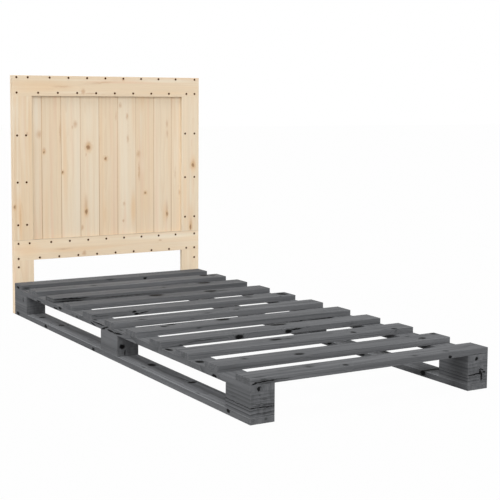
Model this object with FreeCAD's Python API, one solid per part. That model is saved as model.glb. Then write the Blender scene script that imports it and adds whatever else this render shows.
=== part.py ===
import FreeCAD, Part
import os

# A single bed: a slatted base of grey stained pine on block runners, and a panelled headboard of plain pine.
# X runs across the bed, Y from the foot to the head and Z up, in millimetres.
# The origin lies on the floor, in the middle of the bed's outline. Left is -X.

# Slatted base
BED_WIDTH = 900.0  # over the slat ends, the runners and the headboard
BED_LENGTH = 2000.0  # from the headboard to the foot end of the runners
RAIL_WIDTH = 83.0  # lower rails, upper rails and the blocks between them
RAIL_THICKNESS = 20.0
BLOCK_LENGTH = 145.0
BLOCK_HEIGHT = 76.0
SLAT_WIDTH = 86.0
SLAT_THICKNESS = 20.0
SLAT_COUNT = 11
# How far each slat lies off even spacing, headwards
SLAT_NUDGES = {2: 12.0, 3: 14.0, 4: 16.0, 5: 7.0, 6: -3.0, 7: 3.0, 8: 5.0, 9: 5.0, 10: -3.0}
BASE_CHAMFER = 2.0  # eased long edges of the grey boards

# Headboard: a frame of flat boards in front, and planks between two posts behind it
HEADBOARD_HEIGHT = 1030.0
LOWER_RAIL_LIFT = 231.0  # from the floor to the underside of the lower rail
FRAME_WIDTH = 88.0  # rails, stiles and legs
FRAME_THICKNESS = 16.0
POST_WIDTH = 45.0
PLANK_THICKNESS = 14.0  # also the posts
PLANK_COUNT = 9
PLANK_CHAMFER = 1.2  # two of them make the V between planks
TONGUE_LENGTH = 5.0
TONGUE_THICKNESS = 4.0
TONGUE_CLEARANCE = 0.2  # on each side of a tongue and at its tip
FRAME_CHAMFER = 1.5  # eased long edges of the frame and the posts

# Wood screws of the headboard, whose heads show on its front
PANEL_SCREW_SHANK = 4.0
PANEL_SCREW_HEAD = 7.6
PANEL_SCREW_BITE = 9.0  # into the plank or post behind the frame
ROW_MARGIN_OUTER = 8.5  # from the rail's edge on the outside of the frame to its screw row
ROW_MARGIN_INNER = 14.0  # from the rail's edge beside the planks to its screw row
FIRST_UPPER_INSET = 24.0  # from the left edge of the first plank to its upper screw
UPPER_INSET = 33.0  # the same on the second plank
UPPER_DRIFT = 2.7  # how much less it is on each plank after that
LOWER_INSET = 20.0  # from a plank's right edge to its lower screw
POST_SCREW_OFFSET = {"left": -4.0, "right": 0.5}  # inwards from the middle of a post
STILE_SCREW_OFFSET = {"left": -8.0, "right": 5.0}  # inwards from the middle of the stile's overlap on a plank
STILE_SCREW_LOW = 67.0  # from the lower rail up to the lowest pair
STILE_SCREW_HIGH = 169.0  # from the top rail down to the highest pair
STILE_SCREW_DROP = 9.0  # of the middle pair, below halfway
LEG_SCREW_DROP = {"left": 28.0, "right": 38.0}  # below the lower rail

# Wood screws of the base
BASE_SCREW_SHANK = 4.5
BASE_SCREW_HEAD = 8.5
SLAT_SCREW_BITE = 14.0  # up into a slat
RUNNER_SCREW_BITE = 12.0  # up through the lower rail and a block into the upper rail
SCREW_MARGIN = 22.0  # from the edges of a rail or slat
BLOCK_SCREW_MARGIN = 36.0  # from a block's ends
PILOT_CLEARANCE = 0.05
SCREW_SIDES = 6  # screws and their holes have six sides, which keeps so many of them light
BOLT_SIDES = 12

# Bolts that hold the headboard's legs on the head blocks
BOLT_DIAMETER = 8.0
BOLT_HEAD_DIAMETER = 17.0
BOLT_HEAD_HEIGHT = 3.0
BOLT_SOCKET = 5.0  # across the flats of the hexagon key
BOLT_SOCKET_DEPTH = 3.5
BOLT_MARGIN = 20.0  # from the top and the bottom of a block
BOLT_CLEARANCE = 0.2
INSERT_DIAMETER = 12.0
INSERT_LENGTH = 25.0
BOLT_BITE = 22.0  # into the insert

OVERCUT = 5.0  # how far a cutter starts outside the wood
FLAT_TO_CORNER = 3 ** -0.5  # a hexagon's corner radius over its width across the flats

Vector = FreeCAD.Vector
X_AXIS = Vector(1, 0, 0)
Y_AXIS = Vector(0, 1, 0)
Z_AXIS = Vector(0, 0, 1)
SIDES = {"left": -1, "right": 1}
HALF_WIDTH = BED_WIDTH / 2

# Planes across the bed
HEADBOARD_THICKNESS = FRAME_THICKNESS + PLANK_THICKNESS
FOOT_Y = -(BED_LENGTH + HEADBOARD_THICKNESS) / 2
HEAD_Y = FOOT_Y + BED_LENGTH  # where the base meets the headboard's legs
PANEL_Y = HEAD_Y + FRAME_THICKNESS  # where the frame meets the planks
BACK_Y = PANEL_Y + PLANK_THICKNESS
MIDDLE_Y = (FOOT_Y + HEAD_Y) / 2

# Levels
BLOCK_Z = RAIL_THICKNESS
UPPER_RAIL_Z = BLOCK_Z + BLOCK_HEIGHT
SLAT_Z = UPPER_RAIL_Z + RAIL_THICKNESS
STILE_Z = LOWER_RAIL_LIFT + FRAME_WIDTH
TOP_RAIL_Z = HEADBOARD_HEIGHT - FRAME_WIDTH

PLANK_PITCH = (BED_WIDTH - 2 * POST_WIDTH) / PLANK_COUNT
FIRST_PLANK_X = POST_WIDTH - HALF_WIDTH
SLAT_PITCH = (BED_LENGTH - SLAT_WIDTH) / (SLAT_COUNT - 1)
BLOCK_MIDDLES = {
    "head": HEAD_Y - BLOCK_LENGTH / 2,
    "middle": MIDDLE_Y,
    "foot": FOOT_Y + BLOCK_LENGTH / 2,
}

nodes = {}  # every wooden piece and every group of fasteners, by name
pilots = {}  # the holes to cut in each wooden piece


def board(low, high, along, chamfer):
    """A planed board between two corners, with its four long edges eased."""
    size = high - low
    solid = Part.makeBox(size.x, size.y, size.z, low)
    long_edges = [edge for edge in solid.Edges if abs(edge.tangentAt(edge.FirstParameter).dot(along)) > 0.5]
    return solid.makeChamfer(chamfer, long_edges)


def side_span(side, near, far):
    """The lowest and highest X of a piece that lies from near to far, measured inwards from one side."""
    ends = [SIDES[side] * (HALF_WIDTH - inwards) for inwards in (near, far)]
    return min(ends), max(ends)


def flat_sided(sections, sides):
    """A solid around the Z axis, with flat sides between regular polygons given as (radius, height) pairs."""
    rings = [Part.makeCircle(radius, Z_AXIS * height).discretize(sides + 1) for radius, height in sections]
    outlines = [rings[0], rings[-1]]
    for below, above in zip(rings, rings[1:]):
        outlines += [[below[i], below[i + 1], above[i + 1], above[i], below[i]] for i in range(sides)]
    shell = Part.makeShell([Part.Face(Part.makePolygon(outline)) for outline in outlines])
    shell.sewShape()
    return Part.makeSolid(shell)


def prism(radius, sides, start, end):
    """A many-sided bar along the Z axis."""
    return flat_sided([(radius, start), (radius, end)], sides)


def placed(solid, point, direction):
    """A copy of a solid, moved from the origin to a point and turned from the Z axis to a direction."""
    return solid.transformed(FreeCAD.Placement(point, FreeCAD.Rotation(Z_AXIS, direction)).Matrix)


class Screw:
    """A countersunk wood screw and the hole for it, with its head at the origin and its tip up the Z axis."""

    def __init__(self, shank, head, depth):
        self.solid = flat_sided(self.sections(shank / 2, head / 2, depth, 0), SCREW_SIDES)
        hole = self.sections(shank / 2, head / 2, depth, PILOT_CLEARANCE)
        mouth = (head / 2 + PILOT_CLEARANCE, -OVERCUT)
        self.hole = flat_sided([mouth] + hole, SCREW_SIDES)

    def sections(self, shank, head, depth, clearance):
        """A head that tapers to a shank, as (radius, depth) pairs grown by a clearance."""
        neck = head - shank
        return [(head + clearance, 0), (shank + clearance, neck), (shank + clearance, depth + clearance)]

    def drive(self, group, point, direction, woods):
        """Adds a screw to a group of fasteners, and its hole to each piece of wood that it goes through."""
        nodes.setdefault(group, []).append(placed(self.solid, point, direction))
        for wood in woods:
            pilots.setdefault(wood, []).append(placed(self.hole, point, direction))


def slat_middle(number):
    """The Y of a slat's centre line, counted from the head."""
    even = HEAD_Y - SLAT_WIDTH / 2 - (number - 1) * SLAT_PITCH
    return even + SLAT_NUDGES.get(number, 0)


def make_runners():
    """On each side: a lower rail on the floor, three blocks and an upper rail."""
    for side in SIDES:
        left, right = side_span(side, 0, RAIL_WIDTH)
        for name, bottom in {"lower_rail": 0, "upper_rail": UPPER_RAIL_Z}.items():
            low = Vector(left, FOOT_Y, bottom)
            high = Vector(right, HEAD_Y, bottom + RAIL_THICKNESS)
            nodes[f"{name}_{side}"] = board(low, high, Y_AXIS, BASE_CHAMFER)
        for name, middle in BLOCK_MIDDLES.items():
            low = Vector(left, middle - BLOCK_LENGTH / 2, BLOCK_Z)
            high = Vector(right, middle + BLOCK_LENGTH / 2, UPPER_RAIL_Z)
            nodes[f"{name}_block_{side}"] = board(low, high, Y_AXIS, BASE_CHAMFER)


def make_slats():
    """The slats, across both upper rails."""
    for number in range(1, SLAT_COUNT + 1):
        middle = slat_middle(number)
        low = Vector(-HALF_WIDTH, middle - SLAT_WIDTH / 2, SLAT_Z)
        high = Vector(HALF_WIDTH, middle + SLAT_WIDTH / 2, SLAT_Z + SLAT_THICKNESS)
        nodes[f"slat_{number:02d}"] = board(low, high, X_AXIS, BASE_CHAMFER)


def screw_slats():
    """Two screws up through each upper rail into each slat, on a diagonal of the crossing."""
    screw = Screw(BASE_SCREW_SHANK, BASE_SCREW_HEAD, RAIL_THICKNESS + SLAT_SCREW_BITE)
    reach = SLAT_WIDTH / 2 - SCREW_MARGIN
    for side, sign in SIDES.items():
        for number in range(1, SLAT_COUNT + 1):
            woods = [f"upper_rail_{side}", f"slat_{number:02d}"]
            for inwards, step in ((SCREW_MARGIN, reach), (RAIL_WIDTH - SCREW_MARGIN, -reach)):
                point = Vector(sign * (HALF_WIDTH - inwards), slat_middle(number) + step, UPPER_RAIL_Z)
                screw.drive("slat_screws", point, Z_AXIS, woods)


def screw_runners():
    """Two long screws from below through the lower rail and each block into the upper rail, on a diagonal."""
    screw = Screw(BASE_SCREW_SHANK, BASE_SCREW_HEAD, UPPER_RAIL_Z + RUNNER_SCREW_BITE)
    reach = BLOCK_LENGTH / 2 - BLOCK_SCREW_MARGIN
    for side, sign in SIDES.items():
        for name, middle in BLOCK_MIDDLES.items():
            woods = [f"lower_rail_{side}", f"{name}_block_{side}", f"upper_rail_{side}"]
            for inwards, step in ((SCREW_MARGIN, -reach), (RAIL_WIDTH - SCREW_MARGIN, reach)):
                point = Vector(sign * (HALF_WIDTH - inwards), middle + step, 0)
                screw.drive("runner_screws", point, Z_AXIS, woods)


def make_headboard_frame():
    """The boards in front, two long rails with stiles between and legs below, and the posts behind them."""
    for name, bottom in {"headboard_top_rail": TOP_RAIL_Z, "headboard_lower_rail": LOWER_RAIL_LIFT}.items():
        low = Vector(-HALF_WIDTH, HEAD_Y, bottom)
        high = Vector(HALF_WIDTH, PANEL_Y, bottom + FRAME_WIDTH)
        nodes[name] = board(low, high, X_AXIS, FRAME_CHAMFER)
    for side in SIDES:
        left, right = side_span(side, 0, FRAME_WIDTH)
        uprights = {"headboard_stile": (STILE_Z, TOP_RAIL_Z), "headboard_leg": (0, LOWER_RAIL_LIFT)}
        for name, (bottom, top) in uprights.items():
            nodes[f"{name}_{side}"] = board(
                Vector(left, HEAD_Y, bottom), Vector(right, PANEL_Y, top), Z_AXIS, FRAME_CHAMFER
            )
        left, right = side_span(side, 0, POST_WIDTH)
        nodes[f"headboard_post_{side}"] = board(
            Vector(left, PANEL_Y, 0), Vector(right, BACK_Y, HEADBOARD_HEIGHT), Z_AXIS, FRAME_CHAMFER
        )


def plank_section(left, right, has_groove, has_tongue):
    """A plank's outline from above: chamfered corners, a groove on its left and a tongue on its right."""
    middle = (PANEL_Y + BACK_Y) / 2
    tongue = TONGUE_THICKNESS / 2
    groove = tongue + TONGUE_CLEARANCE
    tip = right + TONGUE_LENGTH
    root = left + TONGUE_LENGTH + TONGUE_CLEARANCE
    front = [
        (left, PANEL_Y + PLANK_CHAMFER),
        (left + PLANK_CHAMFER, PANEL_Y),
        (right - PLANK_CHAMFER, PANEL_Y),
        (right, PANEL_Y + PLANK_CHAMFER),
    ]
    back = [(x, PANEL_Y + BACK_Y - y) for x, y in reversed(front)]
    right_edge = [
        (right, middle - tongue),
        (tip, middle - tongue),
        (tip, middle + tongue),
        (right, middle + tongue),
    ]
    left_edge = [
        (left, middle + groove),
        (root, middle + groove),
        (root, middle - groove),
        (left, middle - groove),
    ]
    return front + right_edge * has_tongue + back + left_edge * has_groove


def plank_left(number):
    """The X of the joint on a plank's left, counted from the left."""
    return FIRST_PLANK_X + (number - 1) * PLANK_PITCH


def make_planks():
    """Tongue-and-groove planks side by side between the posts, behind the rails from top to bottom."""
    for number in range(1, PLANK_COUNT + 1):
        left = plank_left(number)
        outline = plank_section(left, left + PLANK_PITCH, number > 1, number < PLANK_COUNT)
        corners = [Vector(x, y, LOWER_RAIL_LIFT) for x, y in outline]
        face = Part.Face(Part.makePolygon(corners + corners[:1]))
        nodes[f"headboard_plank_{number}"] = face.extrude(Z_AXIS * (HEADBOARD_HEIGHT - LOWER_RAIL_LIFT))


def post_screw_x(side):
    """The X of the screws that go into a post."""
    return SIDES[side] * (HALF_WIDTH - POST_WIDTH / 2 - POST_SCREW_OFFSET[side])


def stile_screw_x(side):
    """The X of the screws that go through a stile into the outermost plank."""
    return SIDES[side] * (HALF_WIDTH - (POST_WIDTH + FRAME_WIDTH) / 2 - STILE_SCREW_OFFSET[side])


def upper_screw_inset(number):
    """From a plank's left edge to its screw in the upper row of a rail."""
    if number == 1:
        return FIRST_UPPER_INSET
    return UPPER_INSET - (number - 2) * UPPER_DRIFT


def screw_headboard_rails(screw):
    """Two rows of staggered screws along each rail, one of each row into every plank and post."""
    rows = {
        "headboard_top_rail": (HEADBOARD_HEIGHT - ROW_MARGIN_OUTER, TOP_RAIL_Z + ROW_MARGIN_INNER),
        "headboard_lower_rail": (STILE_Z - ROW_MARGIN_INNER, LOWER_RAIL_LIFT + ROW_MARGIN_OUTER),
    }
    for rail, (upper_z, lower_z) in rows.items():
        for side in SIDES:
            for z in (upper_z, lower_z):
                point = Vector(post_screw_x(side), HEAD_Y, z)
                screw.drive("headboard_rail_screws", point, Y_AXIS, [rail, f"headboard_post_{side}"])
        for number in range(1, PLANK_COUNT + 1):
            left = plank_left(number)
            for x, z in (
                (left + upper_screw_inset(number), upper_z),
                (left + PLANK_PITCH - LOWER_INSET, lower_z),
            ):
                point = Vector(x, HEAD_Y, z)
                screw.drive("headboard_rail_screws", point, Y_AXIS, [rail, f"headboard_plank_{number}"])


def screw_headboard_sides(screw):
    """Three pairs of screws in each stile, into the post and the plank behind it, and one in each leg."""
    lowest = STILE_Z + STILE_SCREW_LOW
    highest = TOP_RAIL_Z - STILE_SCREW_HIGH
    heights = (lowest, (lowest + highest) / 2 - STILE_SCREW_DROP, highest)
    outer_plank = {"left": "headboard_plank_1", "right": f"headboard_plank_{PLANK_COUNT}"}
    for side in SIDES:
        post = f"headboard_post_{side}"
        for z in heights:
            for x, wood in ((post_screw_x(side), post), (stile_screw_x(side), outer_plank[side])):
                woods = [f"headboard_stile_{side}", wood]
                screw.drive("headboard_stile_screws", Vector(x, HEAD_Y, z), Y_AXIS, woods)
        point = Vector(post_screw_x(side), HEAD_Y, LOWER_RAIL_LIFT - LEG_SCREW_DROP[side])
        screw.drive("headboard_leg_screws", point, Y_AXIS, [f"headboard_leg_{side}", post])


def bolt_legs():
    """Two bolts from behind through each post and leg, flush in the post, into inserts in the head block."""
    shank = BOLT_DIAMETER / 2
    head = BOLT_HEAD_DIAMETER / 2
    insert = INSERT_DIAMETER / 2
    bore = shank + BOLT_CLEARANCE
    bolt = prism(head, BOLT_SIDES, 0, BOLT_HEAD_HEIGHT)
    bolt = bolt.fuse(prism(shank, BOLT_SIDES, 0, HEADBOARD_THICKNESS + BOLT_BITE)).removeSplitter()
    bolt = bolt.cut(prism(BOLT_SOCKET * FLAT_TO_CORNER, 6, 0, BOLT_SOCKET_DEPTH))
    sleeve = prism(insert, BOLT_SIDES, 0, INSERT_LENGTH).cut(prism(bore, BOLT_SIDES, 0, INSERT_LENGTH))
    seat = prism(head + BOLT_CLEARANCE, BOLT_SIDES, -OVERCUT, BOLT_HEAD_HEIGHT)
    hole = prism(bore, BOLT_SIDES, -OVERCUT, HEADBOARD_THICKNESS + OVERCUT)
    pocket = prism(insert, BOLT_SIDES, -OVERCUT, INSERT_LENGTH)
    for side, sign in SIDES.items():
        x = sign * (HALF_WIDTH - POST_WIDTH / 2)
        for z in (BLOCK_Z + BOLT_MARGIN, UPPER_RAIL_Z - BOLT_MARGIN):
            back = Vector(x, BACK_Y, z)
            front = Vector(x, HEAD_Y, z)
            nodes.setdefault("headboard_bolts", []).append(placed(bolt, back, -Y_AXIS))
            nodes.setdefault("headboard_bolt_inserts", []).append(placed(sleeve, front, -Y_AXIS))
            for wood in (f"headboard_post_{side}", f"headboard_leg_{side}"):
                pilots.setdefault(wood, []).append(placed(hole, back, -Y_AXIS))
            pilots[f"headboard_post_{side}"].append(placed(seat, back, -Y_AXIS))
            pilots.setdefault(f"head_block_{side}", []).append(placed(pocket, front, -Y_AXIS))


def write_parts():
    """Cuts the holes and writes one file for each piece of wood and each group of fasteners."""
    os.makedirs("parts", exist_ok=True)
    for name, shape in nodes.items():
        if name in pilots:
            shape = shape.cut(pilots[name])
        elif isinstance(shape, list):
            shape = Part.makeCompound(shape)
        shape.exportStep(f"parts/{name}.step")


make_runners()
make_slats()
screw_slats()
screw_runners()
make_headboard_frame()
make_planks()
panel_screw = Screw(PANEL_SCREW_SHANK, PANEL_SCREW_HEAD, FRAME_THICKNESS + PANEL_SCREW_BITE)
screw_headboard_rails(panel_screw)
screw_headboard_sides(panel_screw)
bolt_legs()
write_parts()
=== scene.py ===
"""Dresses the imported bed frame: a grey slatted base, a plain pine headboard and the screws of both."""

import logging
import math
import random
from dataclasses import dataclass, field
from enum import Enum
from typing import Any, Optional, Union

import bmesh
import bpy
from mathutils import Matrix, Vector


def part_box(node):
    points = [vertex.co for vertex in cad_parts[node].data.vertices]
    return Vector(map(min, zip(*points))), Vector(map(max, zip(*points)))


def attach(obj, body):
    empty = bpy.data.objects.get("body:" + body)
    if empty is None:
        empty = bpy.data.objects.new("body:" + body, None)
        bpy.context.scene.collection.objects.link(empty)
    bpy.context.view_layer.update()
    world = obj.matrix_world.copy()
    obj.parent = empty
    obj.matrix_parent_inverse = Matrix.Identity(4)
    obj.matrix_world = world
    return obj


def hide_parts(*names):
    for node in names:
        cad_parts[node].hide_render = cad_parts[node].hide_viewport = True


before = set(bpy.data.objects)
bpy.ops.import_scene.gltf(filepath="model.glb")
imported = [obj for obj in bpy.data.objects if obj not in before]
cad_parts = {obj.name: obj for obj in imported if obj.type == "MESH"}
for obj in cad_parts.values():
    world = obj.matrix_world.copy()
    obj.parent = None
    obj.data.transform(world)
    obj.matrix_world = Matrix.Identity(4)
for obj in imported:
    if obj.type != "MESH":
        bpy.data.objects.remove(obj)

LOG = logging.getLogger("bed_frame")
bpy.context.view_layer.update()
MM = 0.001
BODY = "root"
NOISE_MIDDLE = 0.5
NOISE_GAIN = 3.4
SEED_REACH = 9000.0
BUMP_STRENGTH = 0.6
SAME_WAY = 0.99
NEAR = 1e-6
HAIR = 1e-7
WHITE = (1.0, 1.0, 1.0)

Span = tuple[float, float]
Triple = tuple[float, float, float]
Colour = Triple
Operand = Union["Link", int, float, tuple, Vector]


def fixed(rows: dict[Any, Any]) -> Any:
    """A dataclass field that starts as a copy of a dict."""
    return field(default_factory=lambda: dict(rows))


def blended(first: Colour, second: Colour, share: float) -> Colour:
    """A colour between two others."""
    return tuple(a + (b - a) * share for a, b in zip(first, second))


class Link:
    """An output socket to calculate with: each operation adds one node to its tree."""

    def __init__(self, tree: "Tree", socket: bpy.types.NodeSocket) -> None:
        """Keeps a socket and the tree that it is in."""
        self.tree = tree
        self.socket = socket

    def __add__(self, other: Operand) -> "Link":
        """This plus another."""
        return self.tree.combine("ADD", self, other)

    def __radd__(self, other: Operand) -> "Link":
        """Another plus this."""
        return self.tree.combine("ADD", other, self)

    def __sub__(self, other: Operand) -> "Link":
        """This less another."""
        return self.tree.combine("SUBTRACT", self, other)

    def __rsub__(self, other: Operand) -> "Link":
        """Another less this."""
        return self.tree.combine("SUBTRACT", other, self)

    def __mul__(self, other: Operand) -> "Link":
        """This times another."""
        return self.tree.combine("MULTIPLY", self, other)

    def __rmul__(self, other: Operand) -> "Link":
        """Another times this."""
        return self.tree.combine("MULTIPLY", other, self)

    def __truediv__(self, other: Operand) -> "Link":
        """This over another."""
        return self.tree.combine("DIVIDE", self, other)

    def __rtruediv__(self, other: Operand) -> "Link":
        """Another over this."""
        return self.tree.combine("DIVIDE", other, self)

    def __pow__(self, power: float) -> "Link":
        """This to a power."""
        return self.tree.combine("POWER", self, power)

    def __abs__(self) -> "Link":
        """This without its sign."""
        return self.tree.node("ShaderNodeMath", {"operation": "ABSOLUTE"}, {0: self})

    def carries_vector(self) -> bool:
        """Whether the socket carries a vector or a colour."""
        return self.socket.type in {"VECTOR", "RGBA"}

    def fraction(self) -> "Link":
        """The part after the point."""
        return self.tree.node("ShaderNodeMath", {"operation": "FRACT"}, {0: self})

    def whole(self) -> "Link":
        """The part before the point."""
        return self.tree.node("ShaderNodeMath", {"operation": "FLOOR"}, {0: self})

    def least(self, other: "Link") -> "Link":
        """The smaller of two."""
        return self.tree.combine("MINIMUM", self, other)

    def most(self, other: "Link") -> "Link":
        """The larger of two."""
        return self.tree.combine("MAXIMUM", self, other)

    def dot(self, other: Operand) -> "Link":
        """The scalar product with another vector."""
        sockets = {0: self, 1: other}
        return self.tree.node("ShaderNodeVectorMath", {"operation": "DOT_PRODUCT"}, sockets, "Value")

    def length(self) -> "Link":
        """A vector's length."""
        return self.tree.node("ShaderNodeVectorMath", {"operation": "LENGTH"}, {0: self}, "Value")

    def step(self, start: float, end: float) -> "Link":
        """A smooth step from 0 at start to 1 at end, which may be the smaller of the two.

        Args:
            start: the value that gives 0.
            end: the value that gives 1.

        Returns:
            The step.
        """
        settings = {"interpolation_type": "SMOOTHSTEP"}
        sockets = {"Value": self, "From Min": start, "From Max": end, "To Min": 0.0, "To Max": 1.0}
        return self.tree.node("ShaderNodeMapRange", settings, sockets, "Result")


class Tree:
    """The nodes of one material or of the world."""

    def __init__(self, owner: Union[bpy.types.Material, bpy.types.World]) -> None:
        """Starts an owner's nodes afresh.

        Args:
            owner: the material or the world.
        """
        owner.use_nodes = True
        self.nodes = owner.node_tree.nodes
        self.links = owner.node_tree.links
        self.nodes.clear()

    @staticmethod
    def pick(sockets: Any, key: Union[int, str]) -> bpy.types.NodeSocket:
        """Finds a socket by its number or by its name.

        Args:
            sockets: the inputs or the outputs of a node.
            key: the number or the name.

        Returns:
            The socket, and of several with that name the one in use.
        """
        if isinstance(key, int):
            return sockets[key]
        return next(socket for socket in sockets if socket.name == key and socket.enabled)

    def node(
        self,
        kind: str,
        settings: Optional[dict[str, Any]] = None,
        sockets: Optional[dict[Union[int, str], Any]] = None,
        output: Union[int, str] = 0,
    ) -> Optional[Link]:
        """Adds a node.

        Args:
            kind: the node's type.
            settings: the node's own properties, which are set first.
            sockets: a value or a link for each input.
            output: the output that is wanted.

        Returns:
            The output as a link, or None for a node that has no output.
        """
        made = self.nodes.new(kind)
        for name, value in (settings or {}).items():
            setattr(made, name, value)
        for key, value in (sockets or {}).items():
            socket = self.pick(made.inputs, key)
            if isinstance(value, Link):
                self.links.new(value.socket, socket)
            elif socket.type == "RGBA":
                socket.default_value = (*value[:3], 1.0)
            else:
                socket.default_value = value
        return Link(self, self.pick(made.outputs, output)) if made.outputs else None

    def combine(self, operation: str, first: Operand, second: Operand) -> Link:
        """Adds a Math node for numbers or a Vector Math node for vectors and colours.

        Args:
            operation: what the node does.
            first: the first operand.
            second: the second operand.

        Returns:
            The result.
        """
        terms = [first, second]
        wide = [
            term.carries_vector() if isinstance(term, Link) else isinstance(term, (tuple, Vector))
            for term in terms
        ]
        if not any(wide):
            return self.node("ShaderNodeMath", {"operation": operation}, {0: first, 1: second})
        if operation == "MULTIPLY" and not all(wide):
            vector, number = terms if wide[0] else reversed(terms)
            return self.node("ShaderNodeVectorMath", {"operation": "SCALE"}, {0: vector, "Scale": number})
        terms = [term if isinstance(term, (Link, tuple, Vector)) else (term,) * 3 for term in terms]
        return self.node("ShaderNodeVectorMath", {"operation": operation}, dict(enumerate(terms)))

    def blend(self, first: Union[Link, Colour], second: Union[Link, Colour], share: Link) -> Link:
        """Goes from one colour to another.

        Args:
            first: the colour where the share is 0.
            second: the colour where the share is 1.
            share: what changes over the surface.

        Returns:
            The colour between.
        """
        sockets = {"Factor": share, "A": first, "B": second}
        return self.node("ShaderNodeMix", {"data_type": "RGBA"}, sockets, "Result")

    def noise(self, place: Link, spread: Triple, detail: float = 2.0) -> Link:
        """Smooth noise of about -1 to 1.

        Args:
            place: where on the piece, in mm.
            spread: how far its blobs reach each way, in mm.
            detail: how many finer layers it has.

        Returns:
            The noise.
        """
        sockets = {"Vector": place / spread, "Scale": 1.0, "Detail": detail, "Roughness": 0.55}
        return (self.node("ShaderNodeTexNoise", {}, sockets, "Fac") - NOISE_MIDDLE) * NOISE_GAIN

    def sway(self, place: Link, spread: Triple, amount: Triple) -> Link:
        """A smooth shift of a place, different each way.

        Args:
            place: where on the piece, in mm.
            spread: how far the shift keeps its direction, in mm.
            amount: the most that it shifts each way, in mm.

        Returns:
            The shift.
        """
        sockets = {"Vector": place / spread, "Scale": 1.0, "Detail": 2.0, "Roughness": 0.5}
        shift = self.node("ShaderNodeTexNoise", {}, sockets, "Color") - NOISE_MIDDLE
        return shift * tuple(NOISE_GAIN * most for most in amount)

    def separate(self, place: Link) -> list[Link]:
        """A place's three numbers."""
        return [self.node("ShaderNodeSeparateXYZ", {}, {0: place}, axis) for axis in "XYZ"]

    def surface(
        self, constants: dict[str, Any], sockets: dict[str, Link], height: Link, depth: float
    ) -> None:
        """Ends the tree in a shader with a bump.

        Args:
            constants: values that are the same all over.
            sockets: what changes over the surface.
            height: the bump's height, of about 0 to 1.
            depth: how high a bump of 1 stands, in mm.
        """
        bump = {"Strength": BUMP_STRENGTH, "Distance": depth * MM, "Height": height}
        normal = self.node("ShaderNodeBump", {}, bump)
        shader = self.node("ShaderNodeBsdfPrincipled", {}, {**constants, **sockets, "Normal": normal})
        self.node("ShaderNodeOutputMaterial", {}, {"Surface": shader})


class Lie(Enum):
    """How a board lies: the directions of its grain, its width and its thickness."""

    ACROSS_BED = ((1, 0, 0), (0, 1, 0), (0, 0, 1))
    ALONG_BED = ((0, 1, 0), (-1, 0, 0), (0, 0, 1))
    UPRIGHT = ((0, 0, 1), (1, 0, 0), (0, 1, 0))
    LEVEL = ((1, 0, 0), (0, 0, 1), (0, -1, 0))

    def turn(self) -> Triple:
        """The turn from a board's own axes to the bed's."""
        return tuple(Matrix(self.value).transposed().to_euler())

    def halves(self, size: Vector) -> Triple:
        """Half the length, width and thickness of a board of that size, in mm."""
        return tuple(abs(Vector(axis).dot(size)) / 2 / MM for axis in self.value)


class Through(Enum):
    """Which way a knot runs through its board, as the directions of its two sizes on the board."""

    FACE = ((1, 0, 0), (0, 1, 0))
    EDGE = ((1, 0, 0), (0, 0, 1))
    END = ((0, 1, 0), (0, 0, 1))


FACE, EDGE, END = Through


@dataclass(frozen=True)
class Knot:
    """A knot or a dark streak: its place from the board's middle and its half sizes, in mm.

    One that is faint is a stain, and the fainter the smaller it shows. The lean is how far it goes up its
    second direction for each mm along the first.
    """

    first: float
    second: float
    half_first: float
    half_second: float
    through: Through = FACE
    faint: float = 0.0
    lean: float = 0.0

    def reach(self, place: Link) -> Link:
        """How far a place is from the knot.

        Args:
            place: where on the board, in mm.

        Returns:
            The distance, which is 1 at the knot's rim.
        """
        along, across = (Vector(axis) for axis in self.through.value)
        offset = place - (along * self.first + across * self.second)
        if self.lean:
            offset = offset - offset.dot(along) * (across * self.lean)
        distance = (offset * (along / self.half_first + across / self.half_second)).length()
        return distance + self.faint if self.faint else distance


class Shade(Enum):
    """What a streak of wood is next to the wood round it, as the name of the finish's colour."""

    PALE = "pale"
    AMBER = "amber"


@dataclass(frozen=True)
class Streak(Knot):
    """A soft streak of paler or warmer wood, placed as a knot is."""

    shade: Shade = Shade.PALE
    share: float = 0.5


Knots = tuple[Knot, ...]
Streaks = tuple[Streak, ...]


def pale(along: float, across: float, half_along: float, half_across: float, share: float) -> Streak:
    """A paler streak on a board's face."""
    return Streak(along, across, half_along, half_across, shade=Shade.PALE, share=share)


def amber(along: float, across: float, half_along: float, half_across: float, share: float) -> Streak:
    """A warmer streak on a board's face."""
    return Streak(along, across, half_along, half_across, shade=Shade.AMBER, share=share)


@dataclass(frozen=True)
class Cut:
    """How a board was sawn: where the heart of the log is from its middle, and its growth rings, in mm."""

    heart_across: float
    heart_through: float
    ring: float
    drift: float
    contrast: float = 2.5
    strength: float = 1.0
    sway: float = 6.0

    @classmethod
    def chance(cls, name: str) -> "Cut":
        """A cut that depends on the board's name alone.

        Args:
            name: the board's name.

        Returns:
            The cut.
        """
        dice = random.Random(name)
        side = dice.choice((-1, 1))
        return cls(
            heart_across=dice.uniform(-26, 26),
            heart_through=side * dice.uniform(45, 95),
            ring=dice.uniform(3.4, 5.2),
            drift=dice.uniform(-0.03, 0.03),
        )


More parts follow.
